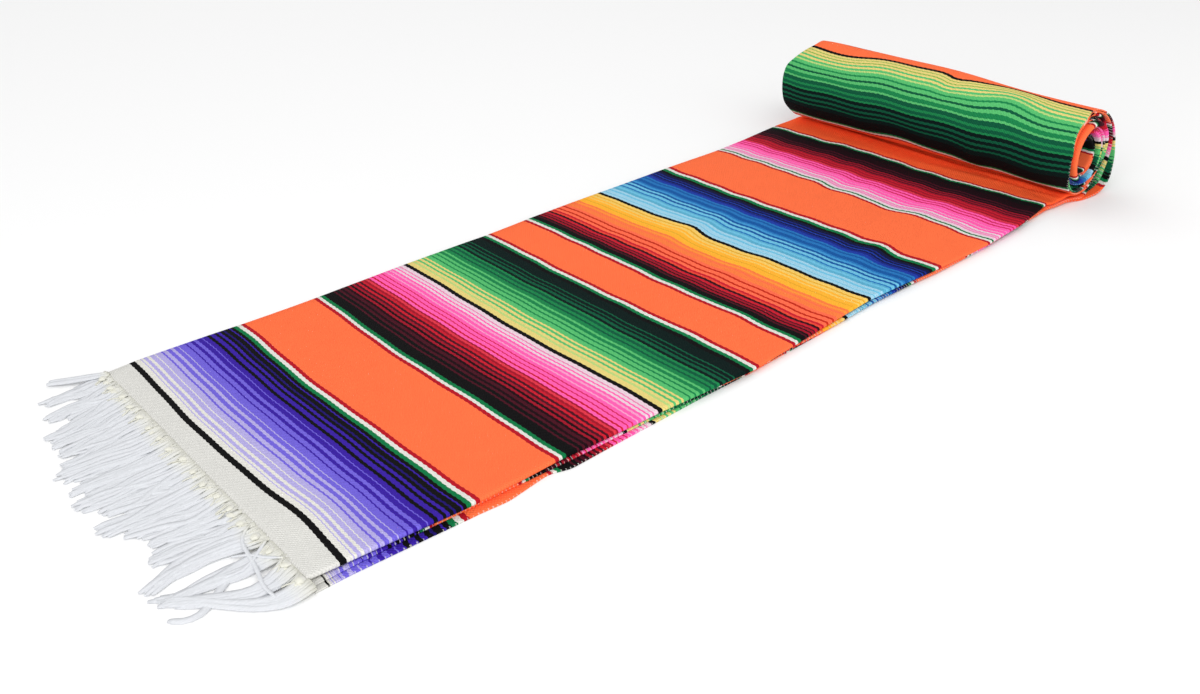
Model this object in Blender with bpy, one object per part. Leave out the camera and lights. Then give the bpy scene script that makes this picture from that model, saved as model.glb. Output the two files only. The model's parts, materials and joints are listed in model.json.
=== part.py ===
"""A Mexican serape blanket, folded lengthwise in four, laid flat and rolled up at its far end.

Metres, +Z up. The cloth lies along X with its fringed end low and its roll high. Its long side at low Y has
the top fold and the two selvages, its long side at high Y the round outer fold. The origin is on the floor
under the middle of the outline. Lengths along and across the cloth are first counted from the woven end's
low corner.
"""

import bmesh
import bpy
import numpy as np

MM = 0.001

# The blanket
CLOTH_WIDTH = 1.52
CLOTH_LENGTH = 1.83
LAYERS = 4
FOLDED_WIDTH = CLOTH_WIDTH / LAYERS
STACK = 6.5 * MM  # four layers of cloth lying on each other
SEAM = 0.3 * MM  # the gap between pieces

# The roll: a spiral that starts where the cloth leaves the floor
ROLL_START = 898 * MM
ROLL_RADIUS = 53.1 * MM  # at the floor; the spiral then winds inwards
TURN_STEP = 9.1 * MM  # four loosely wound layers
LOOSE_BELLY = 5 * MM  # how far the first quarter turn sags outwards behind the roll
STEPS_A_TURN = 20
END_PROUD = 9.5 * MM  # how far the roll's layered end stands out past the flat stretch
MEAN_SWELL = 0.987  # the roll is slimmer at its layered end and fuller at the other
SWELL_CHANGE = 0.03
SWELL_PLACE = 140 * MM
SWELL_SOFTNESS = 45 * MM
WAIST = (0.25, 0.38, 0.51)  # shares of the folded width with points for that change

# The layered side edges
SELVAGE_LIP = 0.5 * MM  # how far a selvage's corners are rounded back
SLIT_MOUTH = 0.8 * MM  # how far two layers gape at the edge
SLIT_DEPTH = 7 * MM
FOLD_ROUNDING = 2.2 * MM
PUFF_CREST = 13.2 * MM  # how far in from the top fold the top layer still stands proud
PUFF_REACH = 55 * MM  # how far in it lies flat again
BACK_ROUNDING = 3.5 * MM
BACK_LEVEL = 52.5 * MM  # how far in from the outer fold the top has its last line of points

# The fringe
KNOT_STEP = 21.1 * MM
KNOT_REACH = 5.5 * MM
STRIP_WIDTH = 2 * MM
STRIP_BEVEL = 0.8 * MM
FRINGE_FAR = 380 * MM  # both knot rows end short of the outer fold
LOWER_FRINGE = {"first": 1 * MM, "tip_height": 1.2 * MM, "seed": 3}
UPPER_FRINGE = {"first": 9 * MM, "tip_height": 3.4 * MM, "seed": 8}
STRANDS_A_KNOT = 3
STRAND_RINGS = 6
ROOT_STEP = 3.2 * MM  # between the strands of a knot
ROOT_WIDTH = 2.5 * MM
BELLY_WIDTH = 4.6 * MM  # where a strand has opened out
TIP_WIDTH = 1.6 * MM
STRAND_HEIGHT = 1.3 * MM
TIP_FLATNESS = 0.3  # the share of its height that a strand loses by its tip
STRAND_SWAY = 3 * MM
SWAY_STEP = 31 * MM
LENGTH_LOSS = 0.18  # the most that chance takes from a strand's length, as a share
TIP_STRAY = 0.12  # how far chance moves a tip, as a share of the step between tips
STRAND_SHARE = 0.86  # the most of the room between its neighbours that a strand takes
LONGEST_STRAND = 90 * MM
CORNER_SPLAY = 20 * MM  # how far the corner's strands lean out past the outer fold

ORIGIN_X = (ROLL_START + ROLL_RADIUS - LONGEST_STRAND) / 2
ORIGIN_Y = (FOLDED_WIDTH + CORNER_SPLAY - END_PROUD) / 2

# The long sides of the flat stretch, in millimetres: where each layer ends at a place along the cloth
FLAT_COLUMNS = ("along", "top_fold", "upper_selvage", "lower_selvage", "outer_fold", "stack", "puff")
FLAT_ROWS = (
    (0, 8.6, 4.0, -1.0, 380.5, 6.5, 1.2),
    (28, 6.0, 4.0, -1.0, 383.4, 6.5, 1.5),
    (80, 2.5, 3.5, -3.5, 380.4, 6.5, 1.8),
    (128, -0.5, 2.0, -6.0, 378.1, 6.5, 2.0),
    (150, -0.8, 1.5, -8.0, 377.9, 6.5, 2.0),
    (190, 0.2, 0.0, -2.0, 377.6, 6.5, 2.0),
    (207, 0.5, -1.0, -8.0, 377.6, 6.5, 1.8),
    (250, -1.5, -1.5, -6.5, 378.2, 6.5, 1.5),
    (302, -3.2, -2.5, -5.5, 379.1, 6.5, 1.0),
    (345, -6.0, -4.0, -4.5, 378.4, 6.3, 0.8),
    (398, -8.5, -5.0, -4.5, 377.5, 6.0, 0.6),
    (460, -4.0, -3.0, -2.6, 381.2, 6.2, 0.8),
    (510, 0.0, -2.0, -0.5, 380.6, 6.5, 1.0),
    (558, 3.0, 1.0, 4.0, 380.1, 6.5, 1.2),
    (607, 1.0, 0.5, 5.6, 379.6, 6.5, 1.0),
    (655, -1.5, -2.0, 1.5, 379.2, 6.5, 0.8),
    (734, -3.2, -1.0, 4.0, 378.6, 6.6, 0.6),
    (790, 0.0, 4.0, 7.0, 380.2, 7.0, 0.4),
    (848, 9.5, 7.0, 13.0, 384.2, 7.5, 0.2),
    (880, 4.0, 2.0, 5.0, 384.0, 8.0, 0.0),
    (898, 2.0, -3.0, -3.0, 383.4, 8.1, 0.0),
)

# The ends of the roll, in millimetres: where each layer ends at a number of turns from the floor
ROLL_COLUMNS = ("turns", "top_fold", "upper_selvage", "lower_selvage", "outer_fold")
ROLL_ROWS = (
    (0.00, 2.0, -3.0, -3.0, 383.4),
    (0.25, 1.0, -2.0, -1.0, 384.0),
    (0.50, 3.0, -1.0, -1.5, 375.0),
    (0.60, 6.0, -4.0, -5.5, 371.0),
    (0.70, 7.0, -6.5, -9.0, 379.0),
    (0.80, 6.0, -7.0, -9.5, 384.0),
    (0.90, 5.0, -6.0, -8.0, 384.0),
    (1.05, -1.0, -1.0, -2.0, 382.0),
    (1.25, -3.0, 1.0, 3.0, 379.0),
    (1.50, -6.0, 2.0, 4.0, 377.0),
    (1.75, -9.0, 2.0, 4.0, 375.0),
    (1.95, -7.0, 1.0, 2.0, 377.0),
    (2.20, -2.0, 0.0, -1.0, 380.0),
    (2.50, -5.0, 2.0, 1.0, 376.0),
    (2.80, 0.0, 4.0, 3.0, 372.0),
    (3.20, -4.0, 0.0, 2.0, 375.0),
    (3.60, -8.0, -2.0, 0.0, 371.0),
    (4.10, -3.0, 1.0, 3.0, 374.0),
    (5.00, -6.0, -2.0, 1.0, 371.0),
)

# The strands, in millimetres: how long they are and how far they lean along the knot row
STRAND_COLUMNS = ("across", "length", "lean")
STRAND_ROWS = (
    (0, 74, 22),
    (20, 80, 20),
    (50, 86, 6),
    (90, 88, -12),
    (110, 76, -8),
    (150, 74, -3),
    (200, 88, 3),
    (250, 88, 5),
    (290, 77, 9),
    (320, 73, 11),
    (350, 65, 14),
    (380, 54, CORNER_SPLAY / MM),
)

WOOL_ORANGE = (0.90, 0.16, 0.05, 1.0)
WOOL_GREEN = (0.03, 0.30, 0.10, 1.0)
WARP_WHITE = (0.80, 0.82, 0.84, 1.0)
WARP_SHADE = (0.62, 0.65, 0.70, 1.0)


def clear_scene():
    """Empties the scene and gives back the collections of the object and of its helpers."""
    for old in list(bpy.data.objects):
        bpy.data.objects.remove(old, do_unlink=True)
    made = []
    for name in ("serape", "serape_helpers"):
        collection = bpy.data.collections.new(name)
        bpy.context.scene.collection.children.link(collection)
        made.append(collection)
    return made


def yarn(name, colour):
    """A rough, matt cloth of one colour."""
    material = bpy.data.materials.new(name)
    material.use_nodes = True
    shader = material.node_tree.nodes["Principled BSDF"]
    shader.inputs["Base Color"].default_value = colour
    shader.inputs["Roughness"].default_value = 0.9
    shader.inputs["Metallic"].default_value = 0.0
    return material


def read_rows(columns, rows, at):
    """The columns of a table as smooth lengths in metres at the values of its first column."""
    table = np.array(rows, float)
    found = {}
    for i, name in enumerate(columns[1:], 1):
        found[name] = np.interp(at, table[:, 0], table[:, i]) * MM
    return found


def tubes(name, rings, colour, collection):
    """Closed tubes through rings of points, given as an array of tube, ring, point around and x, y, z."""
    count, stations, around, _ = rings.shape
    number = np.arange(count * stations * around).reshape(count, stations, around)
    here, ahead = number[:, :-1], number[:, 1:]
    walls = np.stack([here, np.roll(here, -1, 2), np.roll(ahead, -1, 2), ahead], -1).reshape(-1, 4)
    caps = np.concatenate([number[:, 0, ::-1], number[:, -1]])
    corners = rings.reshape(-1, 3) - (ORIGIN_X, ORIGIN_Y, 0)
    mesh = bpy.data.meshes.new(name)
    mesh.from_pydata(corners.tolist(), [], walls.tolist() + caps.tolist())
    shell = bmesh.new()
    shell.from_mesh(mesh)
    bmesh.ops.recalc_face_normals(shell, faces=shell.faces[:])
    shell.to_mesh(mesh)
    shell.free()
    mesh.shade_smooth()
    mesh.set_sharp_from_angle(angle=np.radians(40))
    mesh.materials.append(yarn(name + "_yarn", colour))
    made = bpy.data.objects.new(name, mesh)
    collection.objects.link(made)
    return made


def layered_section(edges, stack, puff):
    """The outline of the four layers at every station, as points across the cloth and above its underside.

    It runs from the underside's low edge up over the two selvages and the top fold, along the top and down
    the round outer fold. Slits part the layers at the low edge, and further in they share one body.
    """
    fold, upper = edges["top_fold"], edges["upper_selvage"]
    lower, back = edges["lower_selvage"], edges["outer_fold"]
    layer = stack / LAYERS
    mouth = SLIT_MOUTH / 2
    outline = (
        (lower + SELVAGE_LIP, 0 * layer),
        (lower, 0.5 * layer),
        (lower + SELVAGE_LIP, layer - mouth),
        (np.maximum(lower, upper) + SLIT_DEPTH, layer),
        (upper + SELVAGE_LIP, layer + mouth),
        (upper, 1.5 * layer),
        (upper + SELVAGE_LIP, 2 * layer - mouth),
        (np.maximum(upper, fold) + SLIT_DEPTH, 2 * layer),
        (fold + 0.6 * FOLD_ROUNDING, 2 * layer + mouth),
        (fold, 2.6 * layer),
        (fold + 0.15 * FOLD_ROUNDING, 3.4 * layer + 0.5 * puff),
        (fold + FOLD_ROUNDING, stack + puff),
        (fold + PUFF_CREST, stack + 0.6 * puff),
        (fold + PUFF_REACH, stack),
        *((place * FOLDED_WIDTH, stack) for place in WAIST),
        (back - BACK_LEVEL, stack),
        (back - BACK_ROUNDING, stack),
        (back - 0.2 * BACK_ROUNDING, 0.83 * stack),
        (back, 0.5 * stack),
        (back - 0.2 * BACK_ROUNDING, 0.2 * stack),
        (back - BACK_ROUNDING, 0 * layer),
        *((place * FOLDED_WIDTH, 0 * layer) for place in reversed(WAIST)),
    )
    return np.array([np.broadcast_arrays(*point) for point in outline]).transpose(2, 0, 1)


def make_flat_run(collection):
    """The flat stretch: a section at every row of its table, with its underside on the floor."""
    along = np.array([row[0] for row in FLAT_ROWS], float)
    edges = read_rows(FLAT_COLUMNS, FLAT_ROWS, along)
    across, above = np.moveaxis(layered_section(edges, edges["stack"], edges["puff"]), -1, 0)
    x = np.broadcast_to(along[:, None] * MM, across.shape)
    tubes("flat_run", np.stack([x, across, above], -1)[None], WOOL_ORANGE, collection)


def spiral_radius(angle):
    """The distance from the roll's axis to the underside, at an angle from where it leaves the floor."""
    loose = np.where(angle < np.pi / 2, LOOSE_BELLY * np.sin(2 * angle) ** 2, 0)
    return ROLL_RADIUS - TURN_STEP * angle / (2 * np.pi) + loose


def swelling(across):
    """How full the roll is at a place across the cloth, as a share of its even size."""
    return MEAN_SWELL + SWELL_CHANGE * np.tanh((across - SWELL_PLACE) / SWELL_SOFTNESS)


def spiral_end():
    """The angle at which the spiral has taken up the cloth that isn't in the flat stretch."""
    rest = CLOTH_LENGTH - ROLL_START
    slope = TURN_STEP / (2 * np.pi)
    return (ROLL_RADIUS - np.sqrt(ROLL_RADIUS**2 - 2 * slope * rest)) / slope


def make_roll(collection):
    """The rolled stretch: the layered section carried along a spiral, its underside outwards."""
    end = spiral_end()
    steps = round(end / (2 * np.pi) * STEPS_A_TURN)
    angle = np.linspace(0, end, steps + 1)
    edges = read_rows(ROLL_COLUMNS, ROLL_ROWS, angle / (2 * np.pi))
    band = np.full(len(angle), TURN_STEP - SEAM)
    across, above = np.moveaxis(layered_section(edges, band, 0 * band), -1, 0)
    radius = spiral_radius(angle)[:, None] - above
    full = swelling(across)
    x = ROLL_START + SEAM + radius * np.sin(angle)[:, None] * full
    z = (ROLL_RADIUS - radius * np.cos(angle)[:, None]) * full
    tubes("roll", np.stack([x, across, z], -1)[None], WOOL_GREEN, collection)


def knot_row(name, low, high, first, colour, collection):
    """The narrow backing along the woven end: a strip that swells into a knot at every step."""
    knots = round((FRINGE_FAR - first) / KNOT_STEP)
    y = np.linspace(first, FRINGE_FAR, 4 * knots + 1)
    swell = (0.5 - 0.5 * np.cos(2 * np.pi * knots * (y - first) / (FRINGE_FAR - first))) ** 2
    reach = SEAM + STRIP_WIDTH + KNOT_REACH * swell
    middle = (low + high) / 2
    outline = (
        (-SEAM, low),
        (-reach + STRIP_BEVEL, low),
        (-reach, middle),
        (-reach + STRIP_BEVEL, high),
        (-SEAM, high),
    )
    rings = [np.stack(np.broadcast_arrays(x, y, z), -1) for x, z in outline]
    return tubes(name, np.stack(rings, 1)[None], colour, collection)


def make_fringe(name, low, high, fringe, colour, collection, helpers):
    """A knot row with its strands: three from each knot, side by side, each lying out along the floor."""
    first, tip_height, seed = fringe["first"], fringe["tip_height"], fringe["seed"]
    chance = np.random.default_rng(seed)
    knots = round((FRINGE_FAR - first) / KNOT_STEP)
    count = knots * STRANDS_A_KNOT
    row = FRINGE_FAR - first
    knot = first + (np.repeat(np.arange(knots), STRANDS_A_KNOT) + 0.5) * row / knots
    place = np.tile(np.arange(STRANDS_A_KNOT) - (STRANDS_A_KNOT - 1) / 2, knots)
    root = knot + place * ROOT_STEP
    shape = read_rows(STRAND_COLUMNS, STRAND_ROWS, root / MM)
    spread = row / count
    tip = knot + place * spread + shape["lean"] + chance.uniform(-TIP_STRAY, TIP_STRAY, count) * spread
    length = shape["length"] * (1 - LENGTH_LOSS * chance.random(count))
    sway = STRAND_SWAY * np.sin(root / SWAY_STEP + seed)
    t = np.linspace(0, 1, STRAND_RINGS)
    ease = t * t * (3 - 2 * t)
    start = SEAM + 0.5 * STRIP_WIDTH
    x = -start - np.outer(length - start, t)
    y = root[:, None] + np.outer(tip - root, ease) + np.outer(sway, np.sin(np.pi * t))
    middle = (low + high) / 2
    z = tip_height + (middle - tip_height) * np.clip(1 - 2 * t, 0, 1) ** 1.5
    half_width = (ROOT_WIDTH + (TIP_WIDTH - ROOT_WIDTH) * t**3) / 2
    half_width += (BELLY_WIDTH - ROOT_WIDTH) / 2 * np.sin(np.pi * t**1.3) ** 1.5
    gap = np.pad(np.diff(y, axis=0), ((1, 1), (0, 0)), mode="edge")
    half_width = np.minimum(half_width, STRAND_SHARE * np.minimum(gap[:-1], gap[1:]) / 2)
    half_height = STRAND_HEIGHT / 2 * (1 - TIP_FLATNESS * t)
    around = np.array([(-1, -1), (1, -1), (1, 1), (-1, 1)], float)
    rings = np.empty((count, len(t), 4, 3))
    rings[..., 0] = x[..., None]
    rings[..., 1] = y[..., None] + around[:, 0] * half_width[..., None]
    rings[..., 2] = z[:, None] + around[:, 1] * half_height[:, None]
    strands = tubes(name + "_strands", rings, colour, helpers)
    strands.hide_render = True
    strands.display_type = "WIRE"
    backing = knot_row(name, low, high, first, colour, collection)
    join = backing.modifiers.new("strands", "BOOLEAN")
    join.operation = "UNION"
    join.object = strands


def main():
    serape, helpers = clear_scene()
    make_flat_run(serape)
    make_roll(serape)
    lower_top, upper_foot = STACK / 2 - SEAM / 2, STACK / 2 + SEAM / 2
    make_fringe("fringe_lower", SEAM, lower_top, LOWER_FRINGE, WARP_SHADE, serape, helpers)
    make_fringe("fringe_upper", upper_foot, STACK, UPPER_FRINGE, WARP_WHITE, serape, helpers)


main()
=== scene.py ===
"""A Mexican serape blanket, folded lengthwise in four and half rolled up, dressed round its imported
frame.

Metres, +Z up, in the frame of the CAD model. Lengths along and across the cloth are first counted from
the woven end's low corner, as the model's source does, and the origin is taken off at the end. """

import json

import bpy
import numpy as np
from mathutils import Matrix, Vector

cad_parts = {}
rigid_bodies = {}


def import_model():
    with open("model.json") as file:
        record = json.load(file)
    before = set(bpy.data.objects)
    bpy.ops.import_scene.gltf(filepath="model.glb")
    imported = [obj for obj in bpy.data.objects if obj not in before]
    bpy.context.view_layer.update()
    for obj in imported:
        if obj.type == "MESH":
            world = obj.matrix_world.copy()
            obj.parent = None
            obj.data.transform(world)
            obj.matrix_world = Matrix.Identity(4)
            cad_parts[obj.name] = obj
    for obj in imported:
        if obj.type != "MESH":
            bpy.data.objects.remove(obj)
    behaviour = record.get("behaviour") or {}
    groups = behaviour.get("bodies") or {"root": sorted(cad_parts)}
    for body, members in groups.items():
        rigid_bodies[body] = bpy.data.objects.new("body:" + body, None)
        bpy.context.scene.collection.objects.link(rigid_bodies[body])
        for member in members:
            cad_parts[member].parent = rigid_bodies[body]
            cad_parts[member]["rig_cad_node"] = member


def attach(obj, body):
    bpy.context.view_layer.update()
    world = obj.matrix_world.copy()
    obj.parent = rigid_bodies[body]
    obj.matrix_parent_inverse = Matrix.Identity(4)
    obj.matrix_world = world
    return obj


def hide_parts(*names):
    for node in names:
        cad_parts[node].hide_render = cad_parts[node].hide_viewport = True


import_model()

bl_info = {
    "name": "Mexican serape blanket",
    "version": (1, 0, 0),
    "blender": (4, 5, 0),
    "location": "3D View > Sidebar > Serape",
    "description": "Weaves, folds, rolls and fringes a striped serape blanket",
    "category": "Object",
}

MM = 0.001

# The folded stack and the roll, as the frame holds them
ROLL_START = 898 * MM  # where the cloth leaves the floor
ROLL_RADIUS = 53.1 * MM  # at the floor; the spiral then winds inwards
TURN_STEP = 9.1 * MM
LOOSE_BELLY = 5 * MM  # how far the first quarter turn sags outwards behind the roll
MEAN_SWELL = 0.987  # the roll is slimmer at its layered end and fuller at the other
SWELL_CHANGE = 0.03
SWELL_PLACE = 140 * MM
SWELL_SOFTNESS = 45 * MM
LAYERS = 4
ORIGIN = np.array((430.55, 195.25, 0.0)) * MM

# The long sides at places along the flat stretch, in millimetres: where each layer ends, how thick the
# stack is, and how proud the top fold stands
FLAT_EDGES = {
    "along": (0, 28, 80, 128, 150, 190, 207, 250, 302, 345, 398, 460, 510, 558, 607, 655, 734, 790, 848,
              880, 898),
    "top_fold": (8.6, 6, 2.5, -0.5, -0.8, 0.2, 0.5, -1.5, -3.2, -6, -8.5, -4, 0, 3, 1, -1.5, -3.2, 0,
                 9.5, 4, 2),
    "upper_selvage": (4, 4, 3.5, 2, 1.5, 0, -1, -1.5, -2.5, -4, -5, -3, -2, 1, 0.5, -2, -1, 4, 7, 2, -3),
    "lower_selvage": (-1, -1, -3.5, -6, -8, -2, -8, -6.5, -5.5, -4.5, -4.5, -2.6, -0.5, 4, 5.6, 1.5, 4,
                      7, 13, 5, -3),
    "outer_fold": (380.5, 383.4, 380.4, 378.1, 377.9, 377.6, 377.6, 378.2, 379.1, 378.4, 377.5, 381.2,
                   380.6, 380.1, 379.6, 379.2, 378.6, 380.2, 384.2, 384, 383.4),
    "stack": (6.5,) * 9 + (6.3, 6, 6.2) + (6.5,) * 4 + (6.6, 7, 7.5, 8, 8.1),
    "puff": (1.2, 1.5, 1.8, 2, 2, 2, 1.8, 1.5, 1, 0.8, 0.6, 0.8, 1, 1.2, 1, 0.8, 0.6, 0.4, 0.2, 0, 0),
}
# The same at a number of turns round the roll, and how far the top fold bulges inwards
ROLL_EDGES = {
    "turns": (0.06, 0.14, 0.25, 0.35, 0.447, 0.5, 0.53, 0.57, 0.61, 0.65, 0.7, 0.78, 0.82, 0.86, 0.92,
              1.05, 1.25, 1.5, 1.75, 1.95, 2.15, 2.35, 2.55, 2.8, 3.1, 3.5, 4, 5),
    "top_fold": (6, 5, 3, 2, 1, 1.5, -1, -2.5, -3, -4, -6, -5, 0, 4, 4, 0, -3, -6, -7, -5, -1, -1, -1, 0,
                 1, 3, 12, 20),
    "upper_selvage": (2, 0, -2, -1, 0, -1, -2, -4, -4, -5, -6, -6, -5, -4, -2, 0, 1, 2, 2, 1, -2, 0, 1,
                      2, 3, 6, 14, 22),
    "lower_selvage": (-7, -8, -4, -2, 0, 1, -2, -3.5, -3.5, -5, -8.5, -8, -6, -3, -2, -1, 3, 4, 4, 2, -3,
                      -2, 0, 1, 2, 6, 14, 22),
    "outer_fold": (383.4, 384, 384, 378, 371, 366, 364.5, 368, 373.5, 382, 383, 382, 382.5, 379, 380,
                   382, 379, 377, 375, 377, 380, 378, 376, 372, 375, 371, 374, 371),
    "stack": (8.8,) * 28,
    "puff": (0,) * 17 + (0.4, 0.6, 0.4) + (0,) * 8,
    "bulge": (0,) * 15 + (0.3, 0.9, 2, 2.2, 1.6, 0.6) + (0.4,) * 7,
}
EDGE_EASE = 6 * MM  # the edges wander smoothly over this length

# Stations along the cloth: three stretches that show and the hidden rest
FINE_FROM = 845 * MM  # from here to the roll the creases are sharp
ROLL_IN_SIGHT = 310 * MM
STATIONS = (201, 27, 78, 111)

# Folds across the layers
FOLD_ROUND = 2.2 * MM  # how far the top fold's bend reaches in
PUFF_REACH = 18 * MM  # how far in from the edge the top fold stands proud
BULGE_REACH = 6 * MM
NEST = 0.7 * MM  # the room between the outer and the inner back fold
# The section's columns, as shares of a layer's breadth
EDGE_COLUMNS = (0, 0.004, 0.012)  # close together
EVEN_FROM = 0.03
EVEN_COLUMNS = 37
COARSE_COLUMNS = (0, 0.01, 0.025, 0.06, 0.15, 0.35, 0.6, 0.82, 0.95)  # where little shows
LOWEST_TO = 40  # the columns before this one are the lowest layer
UPPER_FROM = 60  # the first column that lies well inside the top layer
MEASURED_AT = 100  # the station whose section gives the weave its coordinate across

# How the layers have slipped along each other, at the back and at the low edge
SLIP_BOTTOM = (0 * MM, 10 * MM)
SLIP_INNER = (17 * MM, 0 * MM)
SLIP_THIRD = (17 * MM, 35 * MM)
SLIP_EASE = 22 * MM  # from the woven end they come to it over this length
SLIP_KEPT = 0.3  # the share of it that is left inside the roll
# The lowest layer also lies askew at the low corner
CORNER_SLIP = 26 * MM
CORNER_REACH = 150 * MM
# Inside the roll the two upper layers bunch up: how far they lag behind, in millimetres, by turns
BUNCH_TURNS = (0.42, 0.5, 0.7, 0.9, 1.2)
BUNCH = (0, -18, -75, -75, 0)

# The creases come up from the woven end and go down to the roll over these lengths
CREASE_RISE = 30 * MM
CREASE_FALL = 14 * MM
# The roll's swells come up from its start, and are gone at their end, over these numbers of turns
SWELL_RISE = 0.12
SWELL_FALL = 0.2
SWELL_END = 1.12
FULL_BY = 0.6  # the angle round the roll, in radians, from which it is as slim or full as it gets

# Soft ridges and troughs of the flat stretch, in millimetres:
# middle along, middle across, reach along, reach across, turn in degrees, height
CREASES = (
    (866, 80, 5, 100, 5, 1.8),
    (882, 62, 3, 52, -2, 2.6),
    (875, 62, 2.4, 56, -2, -2.6),
    (866, 30, 4, 34, -14, -1.4),
    (889, 200, 4, 150, -2, -2.4),
    (881, 215, 4, 130, -2, 1.4),
    (856, 250, 8, 90, 3, 1.0),
    (880, 320, 8, 70, -6, 1.3),
    (884, 0, 9, 11, 0, 4.0),
    (838, 40, 9, 45, 12, 1.1),
    (790, 60, 22, 34, 15, 0.9),
    (700, 90, 30, 40, 30, 0.7),
    (690, 250, 36, 50, -25, -0.6),
    (560, 235, 16, 30, 10, 0.9),
    (545, 190, 24, 40, -20, -0.6),
    (500, 330, 22, 40, 35, 0.8),
    (430, 110, 26, 60, 20, 0.6),
    (352, 200, 34, 40, -30, 0.6),
    (300, 330, 26, 36, 20, 0.7),
    (240, 80, 30, 60, 40, 0.6),
    (160, 250, 42, 70, -35, 0.7),
    (150, 60, 30, 40, 20, -0.5),
    (90, 150, 36, 50, 35, 0.6),
    (36, 60, 20, 34, -15, 0.8),
    (14, 200, 16, 46, 10, 0.7),
    (12, 330, 14, 30, 0, 0.7),
)
# Swells of the roll, in turns and millimetres:
# turns, across, reach in turns, reach across, height
SWELLS = (
    (0.45, 190, 0.12, 130, 1.4),
    (0.47, 345, 0.07, 30, 1.0),
    (0.10, 10, 0.05, 24, 2.2),
    (0.16, 4, 0.03, 20, -1.6),
    (0.05, 30, 0.03, 30, -1.4),
    (0.47, 250, 0.05, 40, -1.0),
    (0.60, 365, 0.06, 16, 1.6),
    (0.72, 372, 0.05, 12, -1.5),
    (0.66, 220, 0.08, 50, 0.9),
    (0.80, 300, 0.06, 44, 0.8),
    (0.62, 90, 0.07, 34, 0.7),
    (0.83, 110, 0.06, 40, -0.9),
    (0.90, 200, 0.04, 60, -0.8),
    (0.20, 200, 0.07, 60, 0.9),
    (0.33, 90, 0.06, 50, -0.8),
)

# Where the stripes leave their straight course, in millimetres:
# along, across, reach along, reach across, push
STRIPE_BENDS = (
    (24, 65, 45, 50, 5.0),
    (24, 245, 45, 75, -3.0),
    (127, 20, 40, 80, 3.5),
    (127, 235, 40, 60, -2.0),
    (127, 350, 40, 30, 1.0),
    (199, 230, 40, 90, -4.5),
    (300, 50, 45, 40, 1.5),
    (300, 190, 45, 70, -1.2),
    (300, 350, 45, 40, 1.2),
    (405, 50, 34, 55, 3.0),
    (405, 330, 34, 40, 0.8),
    (450, 65, 34, 35, 2.0),
    (450, 180, 34, 50, -0.7),
    (450, 330, 34, 30, 1.0),
    (554, 10, 46, 50, 4.5),
    (554, 110, 46, 45, 4.0),
    (554, 236, 46, 17, 7.5),
    (554, 275, 46, 20, 1.5),
    (650, 68, 34, 15, 6.0),
    (650, 34, 34, 15, -3.0),
    (650, 130, 40, 30, 2.0),
    (738, 15, 40, 35, -6.0),
    (738, 125, 40, 28, -6.5),
    (738, 195, 40, 22, -3.5),
    (738, 330, 40, 40, 1.5),
    (842, 20, 36, 60, 4.5),
    (842, 85, 36, 16, 1.5),
    (842, 225, 36, 60, 6.0),
    (842, 265, 36, 20, 2.0),
)
# The same on the roll, where along is counted from where the cloth leaves the floor
ROLL_BENDS = (
    (167, 85, 34, 42, -11.5),
    (167, 158, 30, 14, 6.0),
    (167, 320, 40, 45, 10.0),
    (270, 205, 26, 40, -8.0),
    (270, 112, 24, 18, 9.0),
    (270, 40, 30, 30, 8.0),
)
# From here on, and over this length, the roll's bends take over from the flat stretch's
BENDS_CHANGE = 860 * MM
BENDS_CHANGE_OVER = 60 * MM

# Shades of the acrylic yarns, and one orange with painted shade
SHADES = {
    "cream": "#D4D3CE",
    "white": "#DCDAD3",
    "black": "#0D0C0D",
    "orange": "#FC7042",
    # orange painted deeper and redder, standing for the shade and reddish bounce light at the roll's foot
    "orange_with_painted_shade": "#FC6232",
    "trim_green": "#0E7442",
    "trim_red": "#B01424",
    "lavender": "#AEA6DA",
    "violet": "#6E60D0",
    "indigo": "#381F9A",
    "deep_indigo": "#201268",
    "wine": "#1C070F",
    "maroon": "#470F1E",
    "dark_red": "#9A1428",
    "red": "#C41C2E",
    "scarlet": "#DA3646",
    "crimson": "#D02858",
    "rose": "#E678AA",
    "hot_pink": "#FF5CAC",
    "light_pink": "#EE9CC4",
    "pale_pink": "#E4CBD6",
    "khaki": "#E0CC7A",
    "leaf": "#86AC4E",
    "lime": "#B4D07C",
    "light_green": "#55B86C",
    "green": "#1B7F49",
    "dark_green": "#0C563A",
    "green_black": "#061A18",
    "orange_red": "#E44634",
    "coral": "#FA6A4A",
    "rust": "#BE2814",
    "light_orange": "#F67A40",
    "apricot": "#FF923A",
    "amber": "#FCB032",
    "gold": "#E2A62C",
    "yellow": "#F0C664",
    "pale_blue": "#9CCCE2",
    "sky": "#6CBCDC",
    "deep_sky": "#58A8C8",
    "light_blue": "#3F93CC",
    "blue": "#2672B6",
    "strong_blue": "#14559C",
    "royal": "#1D3A9E",
    "deep_royal": "#17267E",
    "navy": "#0D133C",
}


def linear(code):
    """An sRGB hex value as linear red, green and blue."""
    part = [int(code[i : i + 2], 16) / 255 for i in (1, 3, 5)]
    return tuple(c / 12.92 if c <= 0.04045 else ((c + 0.055) / 1.055) ** 2.4 for c in part)


def add(tree, kind, inputs=None, **settings):
    """Adds a node, sets it up and fills its inputs with values or with other nodes' outputs."""
    node = tree.nodes.new(kind)
    for name, value in settings.items():
        setattr(node, name, value)
    for place, value in (inputs or {}).items():
        if isinstance(value, bpy.types.NodeSocket):
            tree.links.new(value, node.inputs[place])
        else:
            node.inputs[place].default_value = value
    return node


# The order of the stripes


def by_turns(first, second, *widths):
    """Stripes of two shades by turns."""
    return [(width, (first, second)[k % 2]) for k, width in enumerate(widths)]


def trims(width, order):
    """Three thin stripes side by side."""
    return [(width / 3, shade) for shade in order]


def field(before, width, after, shade="orange"):
    """A plain stretch between its two trims."""
    return [*trims(before, INTO_FIELD), (width, shade), *trims(after, INTO_FIELD[::-1])]


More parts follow.
